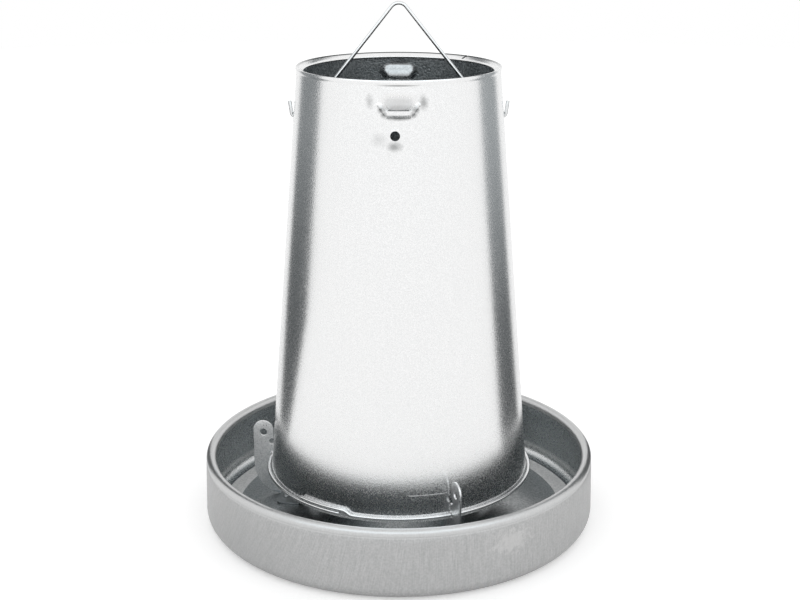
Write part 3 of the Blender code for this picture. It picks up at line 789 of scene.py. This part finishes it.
def ease(value, low, high):
    """0 below low, 1 above high and a smooth rise between them; high may be the smaller one."""
    share = min(max((value - low) / (high - low), 0.0), 1.0)
    return share * share * (3.0 - 2.0 * share)


def between(value, stops):
    """A value read off a broken line, given as (place, value) with its places rising."""
    for (low, first), (high, second) in zip(stops, stops[1:]):
        if value <= high:
            return first + (second - first) * max(value - low, 0.0) / (high - low)
    return stops[-1][1]


def lug_push(across, height):
    """How far the pressed lug stands out of the wall, in millimetres: a bow below its slit and a
    hollow panel above, with across from the lug's middle."""
    aside = abs(across)
    panel = LUG_PANEL_DEPTH * ease(aside, *LUG_PANEL_ENDS) * between(height, LUG_PANEL_FADE)
    foot = LUG_BOW_FOOT + LUG_BOW_FOOT_RISE * ease(aside, *LUG_BOW_FOOT_ENDS)
    middle = (SLIT[0] + SLIT[1]) / 2 + LUG_TIP_RISE * ease(aside, SLIT_HALF, LUG_TIP)
    rise = min(LUG_BOW_SLOPE, LUG_BOW_SLOPE_SHARE * (middle - foot))
    slope = [(foot, 0.0), (foot + 0.1 * rise, 0.05), (foot + 0.9 * rise, 0.97), (foot + 1.1 * rise, 1.0)]
    bow = LUG_BOW_DEPTH * ease(aside, *LUG_BOW_ENDS) * between(height, slope)
    least, more, along = LUG_BLEND
    reach = least + more * ease(aside, SLIT_HALF, SLIT_HALF + along)
    above = ease(height, middle - reach, middle + reach)
    return bow * (1.0 - above) - panel * above


def hole_lip(across, height):
    """How far the wall rises round a punched hole, in millimetres, with across from its middle."""
    return 0.25 * ease(math.hypot(across, height - HOLE_HEIGHT), HOLE_RADIUS + 2.0, HOLE_RADIUS + 0.3)


def seam_rise(across):
    """How far the folded seam stands out, in millimetres: square on one side, dressed on the other."""
    square = ease(across, -SEAM_HALF - 0.15, -SEAM_HALF + 0.25)
    return SEAM_PROUD * min(square, ease(across, SEAM_HALF, SEAM_HALF - 1.4))


def cut(shape, faces, point, normal):
    """Cut some faces along a plane and return all the faces that they became."""
    around = list(faces)
    around += dict.fromkeys(edge for face in faces for edge in face.edges)
    around += dict.fromkeys(corner for face in faces for corner in face.verts)
    made = bmesh.ops.bisect_plane(shape, geom=around, dist=0.000001, plane_co=point, plane_no=normal)
    return [item for item in made["geom"] if isinstance(item, bmesh.types.BMFace)]


def strips(shape, azimuth, heights, places):
    """Cut the wall near an azimuth into upright strips at some places across it, and return its faces."""
    along = Vector((math.cos(math.radians(azimuth)), math.sin(math.radians(azimuth)), 0.0))
    across = Vector((-along.y, along.x, 0.0))
    zone = []
    for face in shape.faces:
        middle = face.calc_center_median()
        near = min(places) - 4.0 < middle.dot(across) / MM < max(places) + 4.0
        if near and middle.dot(along) > 0 and heights[0] < middle.z / MM < heights[1]:
            zone.append(face)
    for place in places:
        zone = cut(shape, zone, across * place * MM, across)
    return zone


def pushed(zone, azimuth, push):
    """Move the corners of some faces in or out of the wall by push(across, height), in millimetres."""
    across = Vector((-math.sin(math.radians(azimuth)), math.cos(math.radians(azimuth)), 0.0))
    for corner in dict.fromkeys(corner for face in zone for corner in face.verts):
        height = corner.co.z / MM
        radius = (corner.co.xy.length / MM + push(corner.co.dot(across) / MM, height)) * MM
        corner.co.xy = corner.co.xy.normalized() * radius


def punched(piece, shape):
    """Cut a piece with a punch of the given shape, which is then taken away."""
    punch = object_from("punch", shape)
    cutter = piece.modifiers.new("punch", "BOOLEAN")
    cutter.operation = "DIFFERENCE"
    cutter.object = punch
    baked(piece)
    bpy.data.objects.remove(punch, do_unlink=True)


heights = [461.2] + [460.6 - 0.75 * step for step in range(26)] + [SLIT[1], SLIT[0]]
heights += [SLIT[0] - 0.6 - 0.7 * step for step in range(14)] + HOLE_ROWS
heights += range(392, 60, -15)
profile = HOPPER_RIM + [NECK] + [(wall_radius(height), height) for height in heights] + HOPPER_HEM
shape = turned(profile, HOPPER_STEPS)

for azimuth in LUG_AZIMUTHS:
    zone = strips(shape, azimuth, LUG_HEIGHTS, LUG_CUTS)
    slit = []
    for face in zone:
        middle = face.calc_center_median()
        if abs(middle.x) < SLIT_HALF * MM and SLIT[0] * MM < middle.z < SLIT[1] * MM:
            slit.append(face)
    zone_corners = dict.fromkeys(corner for face in zone for corner in face.verts)
    above = [corner for corner in zone_corners if corner.co.z > (SLIT[1] - 0.1) * MM]
    pushed(zone, azimuth, lug_push)
    bmesh.ops.delete(shape, geom=slit, context="FACES")
    for corner in above:
        if corner.is_valid:
            sag = ease(corner.co.z / MM, LUG_PANEL_SAG_TOP, SLIT[1])
            sag *= ease(abs(corner.co.x) / MM, *LUG_PANEL_SAG_ENDS)
            corner.co.z -= LUG_PANEL_SAG * sag * MM
for azimuth in HOLE_AZIMUTHS:
    pushed(strips(shape, azimuth, HOLE_HEIGHTS, HOLE_CUTS), azimuth, hole_lip)
zone = strips(shape, SEAM_AZIMUTH, SEAM_HEIGHTS, SEAM_CUTS)
pushed(zone, SEAM_AZIMUTH, lambda across, height: seam_rise(across))
hopper = object_from("hopper", shape)
thickened(hopper, HOPPER_SHEET)

for azimuth in HOLE_AZIMUTHS:
    shape = bmesh.new()
    bmesh.ops.create_cone(
        shape, cap_ends=True, segments=48, radius1=HOLE_RADIUS * MM, radius2=HOLE_RADIUS * MM, depth=0.02
    )
    swung(shape, 90, "Y")
    bmesh.ops.translate(
        shape, vec=(wall_radius(HOLE_HEIGHT) * MM, 0, HOLE_HEIGHT * MM), verts=shape.verts
    )
    punched(hopper, swung(shape, azimuth))

shape = bmesh.new()
bmesh.ops.create_cube(shape, size=1.0)
bmesh.ops.scale(shape, vec=SEAM_NOTCH, verts=shape.verts)
swung(shape, SEAM_NOTCH_TURN)
bmesh.ops.translate(shape, vec=SEAM_NOTCH_PLACE, verts=shape.verts)
punched(hopper, swung(shape, SEAM_AZIMUTH))

# Finish of the hopper. Bright fine-grained zinc with painted shade in the lug's side dents, in the dent
# under the hole, in the crease under the curl and under the lug's bow, a darker patch beside the hole, a
# painted dark outline along the rim's back edge, a rub line at the foot and a duller rim at the back right.
HOPPER_GREYS = ((0.85, 0.854, 0.856), (0.93, 0.93, 0.93))
HOPPER_ROUGH = (0.165, 0.215)
# Painted shade in the dent under the hole and in the lug's side dents, and a darker patch beside the hole.
SHADES_AND_PATCH = {
    "under the hole": (0.85, (-0.0035, -0.1035, 0.4072), (0.0085, 0.02, 0.0060), 0.7, 260.0),
    "beside the hole": (0.3, (-0.018, -0.103, 0.413), (0.009, 0.03, 0.008), 0.5, 160.0),
    "left of the lug": (0.5, (-0.0262, -0.098, 0.4475), (0.0046, 0.03, 0.0085), 0.9, 400.0),
    "right of the lug": (0.8, (0.0225, -0.098, 0.4465), (0.0052, 0.03, 0.0085), 0.9, 400.0),
}
# Painted shade in the crease under the curl.
CREASE_SHADE = ((0.0, -0.0984, 0.4617), (0.0235, 0.02, 0.0011), 0.15, 300.0)
SHADE_AND_PATCH_GREY = (0.36, 0.365, 0.365)
# Painted shade under the lug's bow and up its bent ends.
BOW_BEND = (0.0040, 0.02, 0.0042)
BOW_UNDERSIDE_SHADE = [
    ((0.0, -0.1045, 0.4328), (0.0156, 0.02, 0.0029), 0.5, 700.0),
    ((-0.0135, -0.1035, 0.4360), BOW_BEND, 0.5, 700.0),
    ((0.0135, -0.1035, 0.4360), BOW_BEND, 0.5, 700.0),
    ((-0.0160, -0.1035, 0.4398), BOW_BEND, 0.5, 700.0),
    ((0.0160, -0.1035, 0.4398), BOW_BEND, 0.5, 700.0),
]
BOW_UNDERSIDE_SHADE_GREY = (0.22, 0.225, 0.225)
LUG_PANEL = ((0.0, -0.0955, 0.4460), (0.0190, 0.0075, 0.0105), 0.0)
LUG_PANEL_GREY = (0.93, 0.93, 0.93)
RUB_HEIGHT = (0.0738, 0.0005)
RUB_LENGTH = (0.028, 0.0185)
# A painted dark outline along the rim's outer top edge at the back, standing for a dark reflection.
REAR_OUTLINE_HEIGHT = (0.4652, 0.4656)
REAR_OUTLINE_SIDE = (-0.02, 0.05)
REAR_OUTLINE_SHADE_GREY = (0.20, 0.205, 0.205)
DULL_RIM = ((0.080, 0.056, 0.4645), (0.017, 0.022, 0.004), 0.8, 500.0)
DULL_RIM_GREY = (0.34, 0.345, 0.35)

hopper_finish, tree, shader = new_finish("hopper_finish")
grain = add_node(tree, "ShaderNodeGroup", {"Relief": 0.16, "Speck Scale": 760.0}, node_tree=zinc_grain)
lines = add_node(tree, "ShaderNodeGroup", {"Width Scale": 260.0}, node_tree=drawn_streaks)
cloud = scaled_noise(tree, (1.0, 1.0, 0.5), 12.0, 4.0)
x, y, height = axes(tree, surface_place(tree))
shades_and_patch = 0.0
for share, *mark in SHADES_AND_PATCH.values():
    shades_and_patch = maths(tree, "MULTIPLY_ADD", stained(tree, *mark), share, shades_and_patch)
shades_and_patch = most(tree, [shades_and_patch, stained(tree, *CREASE_SHADE)])
bow_underside_shade = most(tree, [stained(tree, *mark) for mark in BOW_UNDERSIDE_SHADE])
rear_outline_shade = spread(tree, height, *REAR_OUTLINE_HEIGHT)
rear_outline_shade = maths(tree, "MULTIPLY", rear_outline_shade, spread(tree, y, *REAR_OUTLINE_SIDE))
lug_panel = spread(tree, stained(tree, *LUG_PANEL), 0.05, 0.5)
worn = spread(tree, grain.outputs["Specks"], 0.0, 1.0, 0.25, 0.8)
dull_rim = maths(tree, "MULTIPLY", stained(tree, *DULL_RIM), worn)
base = tint(tree, mixed(tree, lines.outputs["Streaks"], 0.12, grain.outputs["Specks"]), *HOPPER_GREYS)
# Painted shade in the dents and the crease, and the darker patch beside the hole.
base = tint(tree, shades_and_patch, base, SHADE_AND_PATCH_GREY)
# Painted shade under the lug's bow.
base = tinted(tree, base, bow_underside_shade, 0.85, BOW_UNDERSIDE_SHADE_GREY)
# Painted dark outline at the rim's back edge.
base = tint(tree, rear_outline_shade, base, REAR_OUTLINE_SHADE_GREY)
base = tint(tree, lug_panel, base, LUG_PANEL_GREY)
base = tint(tree, dull_rim, base, DULL_RIM_GREY)
tree.links.new(maths(tree, "MULTIPLY_ADD", lug_panel, -0.92, 1.0), shader.inputs["Metallic"])
rubbed = maths(tree, "MULTIPLY", maths(tree, "COMPARE", height, *RUB_HEIGHT), spread(tree, y, 0.0, -0.02))
rubbed = maths(tree, "MULTIPLY", maths(tree, "COMPARE", x, *RUB_LENGTH), rubbed)
rough = spread(tree, cloud, *NOISE_SPAN, *HOPPER_ROUGH)
rough = maths(tree, "MULTIPLY_ADD", grain.outputs["Specks"], 0.10, rough)
rough = maths(tree, "MULTIPLY_ADD", rubbed, 0.3, rough)
coated(tree, shader, base, rough, grain.outputs["Normal"])
fitted(hopper, hopper_finish, "hopper", "hopper_sheet", "hopper_body")

# Inside of the hopper. The same sheet, coarser where the feed runs over it and painted darker for the
# shade inside the deep cone, but for the bent metal of the rear lug, which the press has polished.
HOPPER_INSIDE_TOP = 0.4605
HOPPER_INSIDE_SHADE_GREYS = ((0.31, 0.335, 0.348), (0.62, 0.645, 0.655))
HOPPER_INSIDE_ROUGH = (0.36, 0.46)
REAR_LUG = ((0.0, 0.0960, 0.4470), (0.0215, 0.0130, 0.0110), 0.0)
REAR_LUG_GREY = (0.48, 0.49, 0.495)

inside_finish, tree, shader = new_finish("hopper_inside_finish")
polished = spread(tree, stained(tree, *REAR_LUG), 0.0, 0.4)
relief = maths(tree, "MULTIPLY_ADD", polished, -0.8, 0.9)
grain = add_node(tree, "ShaderNodeGroup", {"Relief": relief}, node_tree=zinc_grain)
cloud = scaled_noise(tree, (1.0, 1.0, 0.5), 16.0, 4.0)
tone = mixed(tree, grain.outputs["Crystals"], 0.15, grain.outputs["Specks"])
# Painted shade: the inside's greys are darker than the outside's.
base = tinted(tree, tint(tree, tone, *HOPPER_INSIDE_SHADE_GREYS), polished, 0.75, REAR_LUG_GREY)
rough = spread(tree, cloud, *NOISE_SPAN, *HOPPER_INSIDE_ROUGH)
rough = maths(tree, "MULTIPLY_ADD", polished, -0.24, rough)
coated(tree, shader, base, rough, grain.outputs["Normal"])
lined(hopper, inside_finish, HOPPER_INSIDE_TOP)


# Hanger. One bright wire bent to an upturned V, passed out through the left and right neck holes
# from inside and hooked upwards at its ends.
HANGER_WIRE = 1.75
HANGER_BEND = (0.0, 530.6, 9.0)
HANGER_RIGHT = [(61.0, 453.8, 60.0), (94.0, 416.8, 6.0), (103.7, 416.8, 4.0), (105.7, 432.0, 0.0)]
BEND_POINTS = 14


def rounded_path(corners):
    """Points along straight runs whose corners, given as (x, z, radius), are rounded."""
    points = [Vector(corners[0][:2])]
    for before, corner, after in zip(corners, corners[1:], corners[2:]):
        here = Vector(corner[:2])
        back = (Vector(before[:2]) - here).normalized()
        ahead = (Vector(after[:2]) - here).normalized()
        half = back.angle(ahead) / 2
        centre = here + (back + ahead).normalized() * (corner[2] / math.sin(half))
        start = here + back * (corner[2] / math.tan(half)) - centre
        finish = here + ahead * (corner[2] / math.tan(half)) - centre
        sweep = math.pi - 2 * half
        for step in range(BEND_POINTS + 1):
            share = step / BEND_POINTS
            first = math.sin((1 - share) * sweep) / math.sin(sweep)
            second = math.sin(share * sweep) / math.sin(sweep)
            points.append(centre + start * first + finish * second)
    points.append(Vector(corners[-1][:2]))
    return points


left = [(-x, z, radius) for x, z, radius in reversed(HANGER_RIGHT)]
path = rounded_path(left + [HANGER_BEND] + HANGER_RIGHT)
points = [(x * MM, 0.0, z * MM) for x, z in path]
hanger = object_from("hanger", wire_shape(points, HANGER_WIRE))
fitted(hanger, wire_finish, "hanger", "hanger_wire", "hanger_bail")
